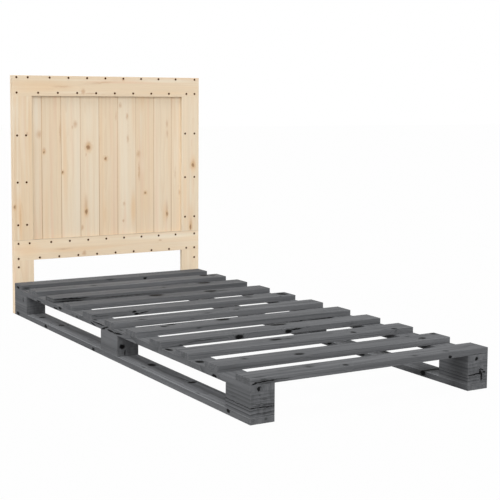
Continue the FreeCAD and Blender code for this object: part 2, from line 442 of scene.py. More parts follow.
@dataclass(frozen=True)
class Grain:
    """What all pine has alike. Sizes and shifts of noise are in mm along the grain, across and through.

    An edge is where a mask goes from 0 to 1, as a share of a knot's size, a value of noise or a distance
    in mm from the board's surface.
    """

    uneven_size: Triple = (15.0, 9.0, 9.0)
    uneven_amount: Triple = (3.6, 2.2, 2.2)
    sway_size: Triple = (380.0, 60.0, 60.0)
    fibre_size: Triple = (42.0, 0.9, 0.9)
    streak_size: Triple = (760.0, 13.0, 26.0)
    tint_size: Triple = (640.0, 30.0, 50.0)
    tint_shift: Triple = (31.0, 57.0, 93.0)
    tint_edge: Span = (0.0, 0.9)
    pale_size: Triple = (820.0, 24.0, 40.0)
    pale_shift: Triple = (77.0, 15.0, 41.0)
    pale_edge: Span = (0.1, 0.9)
    soft_edge: Span = (1.5, 0.2)
    stain_edge: Span = (1.7, 0.3)
    knot_rim: float = 1.3
    halo_rim: float = 0.9
    knot_ring_count: float = 3.0
    knot_ring_share: float = 0.6
    faintest_ring: float = 0.2
    flow_edge: Span = (3.4, 0.4)
    flow_rings: float = 2.6
    check_size: Triple = (240.0, 7.0, 7.0)
    check_edge: Span = (0.07, 0.0)
    patch_size: Triple = (150.0, 24.0, 24.0)
    patch_shift: Triple = (211.0, 17.0, 5.0)
    patch_edge: Span = (0.1, 0.7)
    end_edge: Span = (1.6, 0.4)
    side_edge: Span = (1.2, 0.5)
    joint_line: float = 0.3
    wear_size: Triple = (16.0, 4.0, 4.0)
    wear_amount: float = 1.6
    wear_edge: Span = (2.4, 0.2)
    level: float = 0.4
    late_height: float = 0.5
    fibre_height: float = 0.25
    check_depth: float = 0.35
    knot_depth: float = 0.3
    relief: float = 0.5
    fibre_rough: float = 0.06
    late_smooth: float = 0.08
    knot_smooth: float = 0.12


GRAIN = Grain()


@dataclass(frozen=True)
class WoodFinish:
    """A pine and what was put on it, in linear colours. Amber and joint are left out where none shows."""

    slot: str
    early: Colour
    late: Colour
    other_early: Colour
    other_late: Colour
    tint: Colour
    pale: Colour
    knot: Colour
    knot_rings: Colour
    halo: Colour
    stain: Colour
    worn: Colour
    ring_share: float
    tint_share: float
    pale_share: float
    streak_share: float
    fibre_share: float
    halo_share: float
    halo_reach: float
    stain_share: float
    knot_soft: float
    check_share: float
    wear_share: float
    end_shade: float
    roughness: float
    specular: float
    amber: Optional[Colour] = None
    joint: Optional[Colour] = None

    def dress(self, board: "Board") -> bpy.types.Material:
        """Makes the material of one board, whose grain runs right through it.

        Args:
            board: the board.

        Returns:
            The material.
        """
        material = bpy.data.materials.new(f"{self.slot}.{board.node}")
        tree = Tree(material)
        place = board.own_place(tree)
        seeded = place + board.seed_shift()
        uneven = place + tree.sway(seeded, GRAIN.uneven_size, GRAIN.uneven_amount)
        knots = self.nearest([knot for knot in board.knots if not knot.faint], uneven)
        stains = self.nearest([knot for knot in board.knots if knot.faint], uneven)
        sway = tree.sway(seeded, GRAIN.sway_size, (0.0, board.cut.sway, board.cut.sway))
        rings = self.rings(tree, board.cut, place + sway, knots or stains)
        strength = self.ring_strength(tree, rings) * (1.0 - GRAIN.faintest_ring) + GRAIN.faintest_ring
        late = rings.fraction() ** board.cut.contrast * strength
        fibre = tree.noise(seeded, GRAIN.fibre_size)
        streak = tree.noise(seeded, GRAIN.streak_size)
        tint = tree.noise(seeded + GRAIN.tint_shift, GRAIN.tint_size, 1.0).step(*GRAIN.tint_edge)
        paler = tree.noise(seeded + GRAIN.pale_shift, GRAIN.pale_size, 1.0).step(*GRAIN.pale_edge)

        early = blended(self.early, self.other_early, board.other)
        dark = blended(self.late, self.other_late, board.other)
        colour = tree.blend(early, dark, late * (self.ring_share * board.cut.strength))
        colour = tree.blend(colour, self.tint, tint * self.tint_share)
        colour = tree.blend(colour, self.pale, paler * self.pale_share)
        for soft in board.streaks:
            mask = soft.reach(place + sway).step(*GRAIN.soft_edge) * soft.share
            colour = tree.blend(colour, getattr(self, soft.shade.value), mask)
        # The last factor paints light: it lightens a board, or a slat's edges, where too little light
        # reaches.
        colour = colour * (streak * self.streak_share + fibre * self.fibre_share + 1.0) * board.gain
        height = late * GRAIN.late_height + fibre * GRAIN.fibre_height + GRAIN.level
        roughness = self.roughness + fibre * GRAIN.fibre_rough - late * GRAIN.late_smooth

        if self.check_share:
            check = self.checks(tree, seeded)
            colour = colour * (1.0 - check * self.check_share)
            height = height - check * GRAIN.check_depth
        if stains:
            colour = tree.blend(colour, self.stain, stains.step(*GRAIN.stain_edge) * self.stain_share)
        if knots:
            core = knots.step(GRAIN.knot_rim, self.knot_soft)
            inner = (knots * GRAIN.knot_ring_count).fraction() * GRAIN.knot_ring_share
            halo = knots.step(self.halo_reach, GRAIN.halo_rim) * self.halo_share
            colour = tree.blend(colour, self.halo, halo)
            colour = tree.blend(colour, tree.blend(self.knot, self.knot_rings, inner), core)
            height = height - core * GRAIN.knot_depth
            roughness = roughness - core * GRAIN.knot_smooth
        colour = self.borders(tree, board, place, seeded, colour)
        constants = {"Specular IOR Level": self.specular}
        tree.surface(constants, {"Base Color": colour, "Roughness": roughness}, height, GRAIN.relief)
        return material

    @staticmethod
    def nearest(knots: list[Knot], place: Link) -> Optional[Link]:
        """How far a place is from the nearest of some knots.

        Args:
            knots: the knots.
            place: where on the board, in mm.

        Returns:
            The distance, which is 1 at a knot's rim, or None where there is no knot.
        """
        nearest = None
        for knot in knots:
            reach = knot.reach(place)
            nearest = nearest.least(reach) if nearest else reach
        return nearest

    @staticmethod
    def rings(tree: Tree, cut: Cut, place: Link, knots: Optional[Link]) -> Link:
        """Counts growth rings outwards from the heart of the log.

        Args:
            tree: the tree to add to.
            cut: how the board was sawn.
            place: where on the board, in mm.
            knots: the distance to the nearest knot, which the rings flow round.

        Returns:
            The count, with its fraction.
        """
        along, across, through = tree.separate(place)
        sideways = across - cut.heart_across - along * cut.drift
        upwards = through - cut.heart_through
        count = (sideways * sideways + upwards * upwards) ** 0.5 / cut.ring
        return count + knots.step(*GRAIN.flow_edge) * GRAIN.flow_rings if knots else count

    @staticmethod
    def ring_strength(tree: Tree, rings: Link) -> Link:
        """How dark each ring is, from 0 to 1."""
        sockets = {"W": rings.whole()}
        return tree.node("ShaderNodeTexWhiteNoise", {"noise_dimensions": "1D"}, sockets, "Value")

    @staticmethod
    def checks(tree: Tree, seeded: Link) -> Link:
        """Fine drying cracks along the grain, in patches.

        Args:
            tree: the tree to add to.
            seeded: where on the board, shifted for noise.

        Returns:
            A mask that is 1 in a crack.
        """
        line = abs(tree.noise(seeded, GRAIN.check_size, 1.0)).step(*GRAIN.check_edge)
        patch = tree.noise(seeded + GRAIN.patch_shift, GRAIN.patch_size, 1.0).step(*GRAIN.patch_edge)
        return line * patch

    def borders(self, tree: Tree, board: "Board", place: Link, seeded: Link, colour: Link) -> Link:
        """Shades the ends and joints, paints shade on the inner edge and light on the top, and marks the
        worn edges of a board, as far as it has them.

        Args:
            tree: the tree to add to.
            board: the board with its sizes.
            place: where on the board, in mm.
            seeded: the same place, shifted for noise.
            colour: the colour so far.

        Returns:
            The colour with its borders.
        """
        parts = tree.separate(place)
        length, width, depth = (half - abs(part) for half, part in zip(board.halves, parts))
        colour = colour * (1.0 - length.step(*GRAIN.end_edge) * self.end_shade)
        if board.joint_width:
            colour = tree.blend(colour, self.joint, width.step(board.joint_width, GRAIN.joint_line))
        # Painted shade: the edge that meets the planks is darkened as the shade in that corner would darken
        # it.
        if board.painted_corner_shade:
            painted_shade_mask = (board.halves[1] - parts[1]).step(*GRAIN.side_edge)
            colour = colour * (1.0 - painted_shade_mask * board.painted_corner_shade)
        # Painted light on the top: a lower rail's top is lightened where the rails and slats above shade
        # it, and a slat's top takes back the light painted on its edges.
        if board.top_painted_light:
            top = (board.halves[2] - parts[2]).step(*GRAIN.side_edge)
            colour = colour * (1.0 + top * board.top_painted_light)
        edge = length.least(width).most(length.most(width).least(depth))
        worn = (edge + tree.noise(seeded, GRAIN.wear_size) * GRAIN.wear_amount).step(*GRAIN.wear_edge)
        return tree.blend(colour, self.worn, worn * self.wear_share)


GREY_PINE = WoodFinish(
    slot="grey_pine",
    early=(0.138, 0.141, 0.147),
    late=(0.052, 0.053, 0.056),
    other_early=(0.112, 0.114, 0.119),
    other_late=(0.044, 0.045, 0.048),
    tint=(0.090, 0.092, 0.096),
    pale=(0.164, 0.167, 0.172),
    knot=(0.004, 0.004, 0.004),
    knot_rings=(0.012, 0.012, 0.013),
    halo=(0.060, 0.061, 0.063),
    stain=(0.034, 0.035, 0.036),
    worn=(0.190, 0.192, 0.195),
    ring_share=0.8,
    tint_share=0.6,
    pale_share=0.45,
    streak_share=0.26,
    fibre_share=0.10,
    halo_share=0.5,
    halo_reach=1.6,
    stain_share=0.85,
    knot_soft=0.75,
    check_share=0.5,
    wear_share=0.1,
    end_shade=0.06,
    roughness=0.78,
    specular=0.03,
)

PLAIN_PINE = WoodFinish(
    slot="plain_pine",
    early=(0.800, 0.645, 0.462),
    late=(0.715, 0.525, 0.340),
    other_early=(0.825, 0.692, 0.520),
    other_late=(0.750, 0.585, 0.408),
    tint=(0.790, 0.575, 0.405),
    pale=(0.835, 0.725, 0.570),
    amber=(0.785, 0.560, 0.345),
    knot=(0.400, 0.240, 0.130),
    knot_rings=(0.310, 0.175, 0.085),
    halo=(0.700, 0.465, 0.260),
    stain=(0.610, 0.395, 0.235),
    joint=(0.575, 0.365, 0.205),
    worn=(0.840, 0.725, 0.570),
    ring_share=0.55,
    tint_share=0.70,
    pale_share=0.75,
    streak_share=0.04,
    fibre_share=0.03,
    halo_share=0.6,
    halo_reach=2.8,
    stain_share=0.75,
    knot_soft=0.4,
    check_share=0.0,
    wear_share=0.2,
    end_shade=0.06,
    roughness=0.62,
    specular=0.2,
)


@dataclass(frozen=True)
class SteelFinish:
    """The steel of screws and bolts, plated or painted. Colours are linear and sizes in mm."""

    slot: str
    base: Colour
    mottled: Colour
    metallic: float
    roughness: float
    specular: float
    mottle_size: Triple = (1.6, 1.6, 1.6)
    mottle_edge: Span = (-0.5, 0.9)
    mottle_rough: float = 0.08
    scratch_size: Triple = (0.15, 0.15, 3.0)
    scratch_rough: float = 0.05
    height: float = 0.3
    relief: float = 0.04

    def dress(self, name: str) -> bpy.types.Material:
        """Makes the material, with mottling and fine scratches.

        Args:
            name: the name of what it goes on.

        Returns:
            The material.
        """
        material = bpy.data.materials.new(f"{self.slot}.{name}")
        tree = Tree(material)
        place = tree.node("ShaderNodeTexCoord", {}, {}, "Object") / (MM, MM, MM)
        mottle = tree.noise(place, self.mottle_size, 3.0)
        scratch = tree.noise(place, self.scratch_size, 1.0)
        colour = tree.blend(self.base, self.mottled, mottle.step(*self.mottle_edge))
        roughness = self.roughness + mottle * self.mottle_rough + scratch * self.scratch_rough
        height = mottle * self.height + scratch * self.height
        constants = {"Metallic": self.metallic, "Specular IOR Level": self.specular}
        tree.surface(constants, {"Base Color": colour, "Roughness": roughness}, height, self.relief)
        return material


DARK_STEEL = SteelFinish(
    slot="dark_screw_steel",
    base=(0.080, 0.022, 0.003),
    mottled=(0.050, 0.014, 0.002),
    metallic=0.0,
    roughness=0.85,
    specular=0.01,
)

ZINC_STEEL = SteelFinish(
    slot="zinc_steel",
    base=(0.62, 0.63, 0.64),
    mottled=(0.46, 0.47, 0.49),
    metallic=1.0,
    roughness=0.36,
    specular=0.5,
)


def finished_piece(mesh: bmesh.types.BMesh, name: str, slot: str, *nodes: str) -> bpy.types.Object:
    """Turns a mesh into a piece that rides on the bed and stands for CAD nodes.

    Args:
        mesh: the mesh in the bed's frame, which is freed.
        name: the piece's name.
        slot: the record's material slot; not used.
        nodes: the CAD nodes that it stands for.

    Returns:
        The piece.
    """
    data = bpy.data.meshes.new(name)
    mesh.to_mesh(data)
    mesh.free()
    piece = bpy.data.objects.new(name, data)
    bpy.context.scene.collection.objects.link(piece)
    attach(piece, BODY)
    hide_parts(*nodes)
    LOG.info("%s: %d faces", name, len(data.polygons))
    return piece


def dress_node(name: str, material: bpy.types.Material) -> bpy.types.Object:
    """Gives a CAD node that stays as it is a material.

    Args:
        name: the node's name.
        material: the material.

    Returns:
        The node's object.
    """
    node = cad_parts[name]
    node.data.materials.clear()
    node.data.materials.append(material)
    LOG.info("%s keeps its CAD shape", name)
    return node


def blank(low: Vector, high: Vector) -> bmesh.types.BMesh:
    """A block of wood with sharp edges.

    Args:
        low: its lowest corner.
        high: its highest corner.

    Returns:
        The block's mesh.
    """
    mesh = bmesh.new()
    bmesh.ops.create_cube(mesh, size=1.0)
    bmesh.ops.scale(mesh, vec=high - low, verts=mesh.verts)
    bmesh.ops.translate(mesh, vec=(low + high) / 2, verts=mesh.verts)
    return mesh


def round_edges(
    mesh: bmesh.types.BMesh, edges: list[bmesh.types.BMEdge], radius: float, segments: int
) -> None:
    """Rounds edges over.

    Args:
        mesh: the mesh.
        edges: its edges to round.
        radius: how far the rounding reaches, in mm.
        segments: the number of faces across it.
    """
    made = bmesh.ops.bevel(
        mesh,
        geom=edges,
        offset=radius * MM,
        offset_type="OFFSET",
        segments=segments,
        profile=0.5,
        affect="EDGES",
        material=-1,
        clamp_overlap=True,
    )
    for face in made["faces"]:
        face.smooth = True


def slice_mesh(mesh: bmesh.types.BMesh, point: Vector, normal: Vector) -> None:
    """Cuts a mesh's faces along a plane and keeps both sides."""
    geometry = [*mesh.verts, *mesh.edges, *mesh.faces]
    bmesh.ops.bisect_plane(mesh, geom=geometry, dist=HAIR, plane_co=point, plane_no=normal)


def push_faces(
    mesh: bmesh.types.BMesh, faces: list[bmesh.types.BMFace], shift: Vector
) -> list[bmesh.types.BMVert]:
    """Extrudes a group of faces.

    Args:
        mesh: the mesh.
        faces: the faces to move.
        shift: where they go.

    Returns:
        The vertices that moved.
    """
    made = bmesh.ops.extrude_face_region(mesh, geom=faces)["geom"]
    verts = [part for part in made if isinstance(part, bmesh.types.BMVert)]
    bmesh.ops.delete(mesh, geom=[face for face in faces if face.is_valid], context="FACES_ONLY")
    bmesh.ops.translate(mesh, vec=shift, verts=verts)
    return verts


@dataclass(frozen=True)
class Crack:
    """An open drying crack across the foot end of a block, in mm from the block's middle.

    Its bottom keeps the share of its width that closing says.
    """

    level: float
    rise: float
    start: float
    end: float
    width: float = 2.6
    depth: float = 14.0
    closing: float = 0.2


@dataclass
class Board:
    """One board of solid wood. Sizes are in mm.

    Other is how far its colour goes to the finish's other one, and the painted light gain is how much
    lighter it is painted where little light reaches it. The painted corner shade darkens the edge that
    meets the planks, and the top painted light lightens or darkens its top alone.
    """

    node: str
    lie: Lie
    finish: WoodFinish
    rounding: float
    knots: Knots = ()
    cut: Optional[Cut] = None
    other: float = 0.0
    gain: float = 1.0
    joint_width: float = 0.0
    painted_corner_shade: float = 0.0
    top_painted_light: float = 0.0
    cracks: tuple[Crack, ...] = ()
    streaks: Streaks = ()
    segments: int = 3

    def __post_init__(self) -> None:
        """Takes the board's place from its CAD node."""
        self.low, self.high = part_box(self.node)
        self.halves = self.lie.halves(self.high - self.low)
        self.cut = self.cut or Cut.chance(self.node)

    def own_place(self, tree: Tree) -> Link:
        """The place on the board in mm from its middle: along the grain, across it and through the board.

        Args:
            tree: the tree to add to.

        Returns:
            The place.
        """
        place = tree.node("ShaderNodeTexCoord", {}, {}, "Object")
        sockets = {
            "Vector": place,
            "Location": (self.low + self.high) / 2,
            "Rotation": self.lie.turn(),
            "Scale": (MM, MM, MM),
        }
        return tree.node("ShaderNodeMapping", {"vector_type": "TEXTURE"}, sockets)

    def seed_shift(self) -> Triple:
        """A shift of the noise, in mm, that depends on the board's name alone."""
        dice = random.Random(f"grain of {self.node}")
        return tuple(dice.uniform(-SEED_REACH, SEED_REACH) for _ in range(3))

    def shape(self) -> bmesh.types.BMesh:
        """Rounds the board's edges over and opens its cracks.

        Returns:
            The board's mesh.
        """
        mesh = blank(self.low, self.high)
        round_edges(mesh, mesh.edges[:], self.rounding, self.segments)
        for crack in self.cracks:
            self.open_crack(mesh, crack)
        return mesh

    def open_crack(self, mesh: bmesh.types.BMesh, crack: Crack) -> None:
        """Opens a crack in the end that faces the foot of the bed.

        Args:
            mesh: the board's mesh.
            crack: the crack.
        """
        middle = (self.low + self.high) / 2
        slope = Vector((-crack.rise / (self.high - self.low).x * MM, 0, 1)).normalized()
        for level in (crack.level - crack.width / 2, crack.level + crack.width / 2):
            slice_mesh(mesh, middle + Vector((0, 0, level * MM)), slope)
        for side in (crack.start, crack.end):
            slice_mesh(mesh, middle + Vector((side * MM, 0, 0)), Vector((1, 0, 0)))
        opened = []
        for face in mesh.faces:
            offset = (face.calc_center_median() - middle) / MM
            in_level = abs(offset.dot(slope) - crack.level) < crack.width / 2
            if face.normal.y < -SAME_WAY and in_level and crack.start < offset.x < crack.end:
                opened.append(face)
        verts = push_faces(mesh, opened, Vector((0, crack.depth * MM, 0)))
        space = Matrix.Translation(-middle - slope * crack.level * MM)
        bmesh.ops.scale(mesh, vec=(1, 1, crack.closing), verts=verts, space=space)

    def build(self) -> bpy.types.Object:
        """Makes the board and dresses it.

        Returns:
            The piece.
        """
        piece = finished_piece(self.shape(), f"{self.node}_wood", self.finish.slot, self.node)
        piece.data.materials.append(self.finish.dress(self))
        return piece


@dataclass
class Runners:
    """The two sides of the base: a rail on the floor, three blocks and a rail on top. Sizes are in mm."""

    rounding: float = 0.9
    block_heart: float = -420.0
    block_off_middle: float = 14.0
    block_rings: float = 11.0
    block_drift: float = 0.01
    block_contrast: float = 2.0
    block_sway: float = 3.0
    rail_heart: float = 320.0
    rail_rings: float = 5.5
    foot_strength: float = 2.5
    other_strength: float = 0.7
    # Painted light on the lower rails' tops, which the upper rails and slats shade.
    lower_top_painted_light: float = 0.72
    rail_knots: dict[str, Knots] = fixed({
        "lower_rail_left": (
            Knot(-245, -11, 18, 13),
            Knot(-534, -16, 10, 14),
            Knot(-478, -11, 58, 4, FACE, 0.15, 0.07),
            Knot(-267, 31, 16, 5, FACE, 0.4),
            Knot(-670, 34, 14, 4, FACE, 0.2),
            Knot(567, 0, 15, 11),
            Knot(768, 5, 10, 13),
            Knot(-872, 3, 9, 5, EDGE),
            Knot(142, -3, 11, 6, EDGE),
            Knot(631, -1, 13, 6.5, EDGE),
            Knot(962, -1, 15, 7, EDGE),
            Knot(-12, 2.5, 7, 5, END, 0.4),
        ),
        "lower_rail_right": (
            Knot(-467, -26, 18, 12),
            Knot(-774, 4, 12, 9, EDGE),
            Knot(-419, 1, 18, 7, EDGE),
            Knot(-211, 3, 14, 6, EDGE),
            Knot(330, 14, 11, 12),
            Knot(700, -20, 13, 11),
        ),
        "upper_rail_left": (
            Knot(-654, 21, 16, 13),
            Knot(-449, 26, 18, 9),
            Knot(-786, -5.5, 13, 5, EDGE),
            Knot(143, 32, 10, 6),
            Knot(140, -4, 25, 2.8, EDGE, lean=0.17),
            Knot(95, 6.0, 48, 2.2, EDGE),
            Knot(35, -0.5, 31, 3.1, EDGE, lean=-0.28),
            Knot(-17, -3.0, 26, 3.0, EDGE),
            Knot(-78, -1.5, 36, 2.9, EDGE, lean=-0.078),
            Knot(-78, 29, 20, 7, FACE, 0.05),
            Knot(-129, 30, 11, 6, FACE, 0.2),
            Knot(300, -3, 16, 4, EDGE, 0.1),
            Knot(472, 3, 15, 5, EDGE),
            Knot(522, -5.5, 20, 3.4, EDGE),
            Knot(709, -6, 22, 3.2, EDGE),
            Knot(13.5, -2.2, 4.4, 6.4, END),
            Knot(7, 2.2, 4, 3, END, 0.3),
        ),
        "upper_rail_right": (
            Knot(-780, 0, 15, 8, EDGE, 0.4),
            Knot(-160, 22, 14, 12),
            Knot(410, 12, 11, 12),
            Knot(6.4, -3.0, 6.8, 5.4, END, lean=-0.1),
        ),
    })
    block_knots: dict[str, Knots] = fixed({
        "head_block_left": (Knot(-30, 21, 3.4, 10, EDGE),),
        "head_block_right": (Knot(18, -8, 9, 6, EDGE),),
        "middle_block_left": (Knot(22, -3, 10, 8, END), Knot(12, -25, 2.4, 9, END)),
        "middle_block_right": (Knot(-14, 9, 10, 7, EDGE),),
        "foot_block_left": (
            Knot(10, 28, 4, 3, END, 0.4),
            Knot(-9, 14.4, 24, 2.6, END, 0.45, 0.026),
            Knot(4, 0.7, 32, 1.4, END, 0.1, 0.061),
            # Painted shade: the next two knots, a dark line and a grey stain, darken the open crack as the
            # shade inside it would.
            Knot(0, -9.6, 48, 1.5, END, lean=0.021),
            Knot(0, -9.6, 44, 2.0, END, 0.2, 0.021),
            Knot(-8, -29.4, 25, 2.6, END, 0.5, -0.06),
        ),
        "foot_block_right": (
            Knot(-9.5, 8.4, 6, 2.2, END, lean=-0.37),
            Knot(-17.5, 7.4, 6, 2.2, END, lean=0.5),
            Knot(-9.5, -2, 5.4, 6, END),
            Knot(4, -5.6, 13, 2.2, END, lean=-0.12),
            Knot(24, -7.4, 15, 1.6, END),
            Knot(-16, -15, 3.5, 14, END),
            Knot(-26, -2.6, 6, 1.8, END),
        ),
    })
    block_cracks: dict[str, tuple[Crack, ...]] = fixed({
        "foot_block_left": (Crack(-9.6, -1.7, -40.4, 40.4),),
        "foot_block_right": (Crack(-5.6, 3.6, -39.0, 6.0),),
    })

    def boards(self) -> list[Board]:
        """Lists the boards of both sides.

        Returns:
            The boards.
        """
        made = []
        for name, knots in self.rail_knots.items():
            upper = name.startswith("upper")
            cut = Cut(self.rail_heart, 0.0, self.rail_rings, 0.0) if upper else None
            gain = 0.0 if upper else self.lower_top_painted_light
            made.append(Board(name, Lie.ALONG_BED, GREY_PINE, self.rounding, knots, cut, top_painted_light=gain))
        for name, knots in self.block_knots.items():
            cut = Cut(
                heart_across=random.Random(name).uniform(-self.block_off_middle, self.block_off_middle),
                heart_through=self.block_heart,
                ring=self.block_rings,
                drift=self.block_drift,
                contrast=self.block_contrast,
                strength=self.foot_strength if name.startswith("foot") else self.other_strength,
                sway=self.block_sway,
            )
            cracks = self.block_cracks.get(name, ())
            made.append(Board(name, Lie.ALONG_BED, GREY_PINE, self.rounding, knots, cut, cracks=cracks))
        return made

    def build(self) -> list[bpy.types.Object]:
        """Makes all the boards and dresses them."""
        return [board.build() for board in self.boards()]


@dataclass
class Slats:
    """The slats across the base, counted from the head. Sizes are in mm."""

    rounding: float = 0.9
    # Painted light on each slat's edges, which the slat nearer the foot shades.
    painted_light_gains: tuple[float, ...] = (1.09, 1.09, 1.03, 1.12, 1.08, 1.00, 1.09, 1.02, 1.04, 1.14, 1.00)
    tones: tuple[float, ...] = (0.6, 0.0, 0.85, 0.7, 0.1, 0.1, 0.05, 0.1, 0.05, 0.2, 0.15)
    knots: dict[int, Knots] = fixed({
        1: (
            Knot(131, 0, 8, 4.6, EDGE),
            Knot(-40, 6, 26, 3, EDGE, 0.2),
            Knot(2, -3.5, 13, 4.8, END),
            Knot(-428, -2, 20, 6, EDGE, 0.35),
            Knot(-372, -7.4, 66, 2.0, EDGE, 0.25),
        ),
        2: (
            Knot(372, 24, 18, 17),
            Knot(412, 18, 15, 13),
            Knot(-180, -6, 18, 19, FACE, 0.3),
        ),
        3: (
            Knot(272, 29, 28, 21),
            Knot(-374, 4, 72, 2.2, EDGE, lean=-0.023),
            Knot(-384, -6.2, 62, 2.0, EDGE, lean=-0.021),
            Knot(-368, -1, 78, 7.5, EDGE, 0.3),
            Knot(-140, -3, 160, 3.0, EDGE, 0.2),
            Knot(60, -6, 12, 17, FACE, 0.3),
        ),
        4: (
            Knot(-54, 23, 30, 18),
            Knot(191, 9, 26, 17),
            Knot(180, -18, 14, 8, FACE, 0.3),
            Knot(228, -4, 30, 10, FACE, 0.1),
        ),
        5: (
            Knot(-277, 4.8, 8, 3.2, EDGE),
            Knot(-267, -4.8, 10, 3.6, EDGE),
            Knot(-240, -1.6, 24, 2.0, EDGE, lean=0.17),
            Knot(-436, 3, 13, 1.6, EDGE, 0.2, -0.28),
            Knot(-405, -1.2, 28, 1.4, EDGE, 0.3),
            Knot(-330, -4.5, 46, 1.6, EDGE, 0.35),
            Knot(257, 12, 18, 20, FACE, 0.2),
            Knot(415, 7, 18, 24),
        ),
        6: (
            Knot(-330, -22, 16, 11, FACE, 0.1),
            Knot(-58, -22, 20, 10, FACE, 0.2),
            Knot(75, -9, 14, 17, FACE, 0.3),
        ),
        7: (
            Knot(-318, 8, 12, 8),
            Knot(-282, 27, 17, 10),
            Knot(-204, 3, 14, 4, EDGE, 0.4),
            Knot(-74, 23, 26, 17),
        ),
        8: (
            Knot(-377, -6.5, 9, 3.2, EDGE, 0.3),
            Knot(-290, 2, 90, 3, EDGE, 0.45),
            Knot(-151, -1, 16, 8, EDGE),
            Knot(49, -0.5, 13, 6.6, EDGE),
            Knot(80, 4.6, 22, 2.8, EDGE),
            Knot(52, 30, 30, 12),
        ),
        9: (
            Knot(-92, 6, 22, 11),
            Knot(-50, 0, 27, 7, FACE, 0.05),
            Knot(208, -18, 9, 11),
            Knot(340, -8, 18, 3, EDGE, 0.6),
            Knot(372, -33, 11, 8),
            Knot(340, -30, 22, 9, FACE, 0.5),
        ),
        10: (
            Knot(-146, -20, 16, 12),
            Knot(354, -14, 13, 11),
            Knot(434, 29, 10, 11),
            Knot(326, 33, 12, 7, FACE, 0.2),
            Knot(-330, 10, 16, 19, FACE, 0.4),
        ),
        11: (
            Knot(-435, -5.0, 10, 2.8, EDGE, lean=0.2),
            Knot(-398, -2.4, 38, 2.3, EDGE, lean=0.04),
            Knot(-340, -0.9, 42, 1.8, EDGE, 0.2),
            Knot(-397, -7.6, 32, 1.7, EDGE, 0.05),
            Knot(-370, -5.6, 75, 5, EDGE, 0.7),
            Knot(-408, 2.5, 46, 5.5, EDGE, 0.45),
            Knot(-415, -32, 24, 7, FACE, 0.25),
            Knot(-215, 11, 18, 19, FACE, 0.35),
            Knot(-104, -26, 9, 9),
            Knot(161, -25, 14, 9, FACE, 0.25),
            Knot(291, -20, 12, 12, FACE, 0.25),
            Knot(291, -5, 6.5, 4.6, EDGE),
            Knot(408, -8.6, 36, 1.6, EDGE, 0.1),
        ),
    })

    def build(self) -> list[bpy.types.Object]:
        """Makes all the slats and dresses them.

        Returns:
            The pieces.
        """
        made = []
        for number, knots in self.knots.items():
            slat = Board(f"slat_{number:02d}", Lie.ACROSS_BED, GREY_PINE, self.rounding, knots)
            slat.other = self.tones[number - 1]
            slat.gain = self.painted_light_gains[number - 1]
            # The painted light gain lightens the edges, which the slat nearer the foot shades, so the top
            # undoes it.
            slat.top_painted_light = 1 / slat.gain - 1
            made.append(slat.build())
        return made


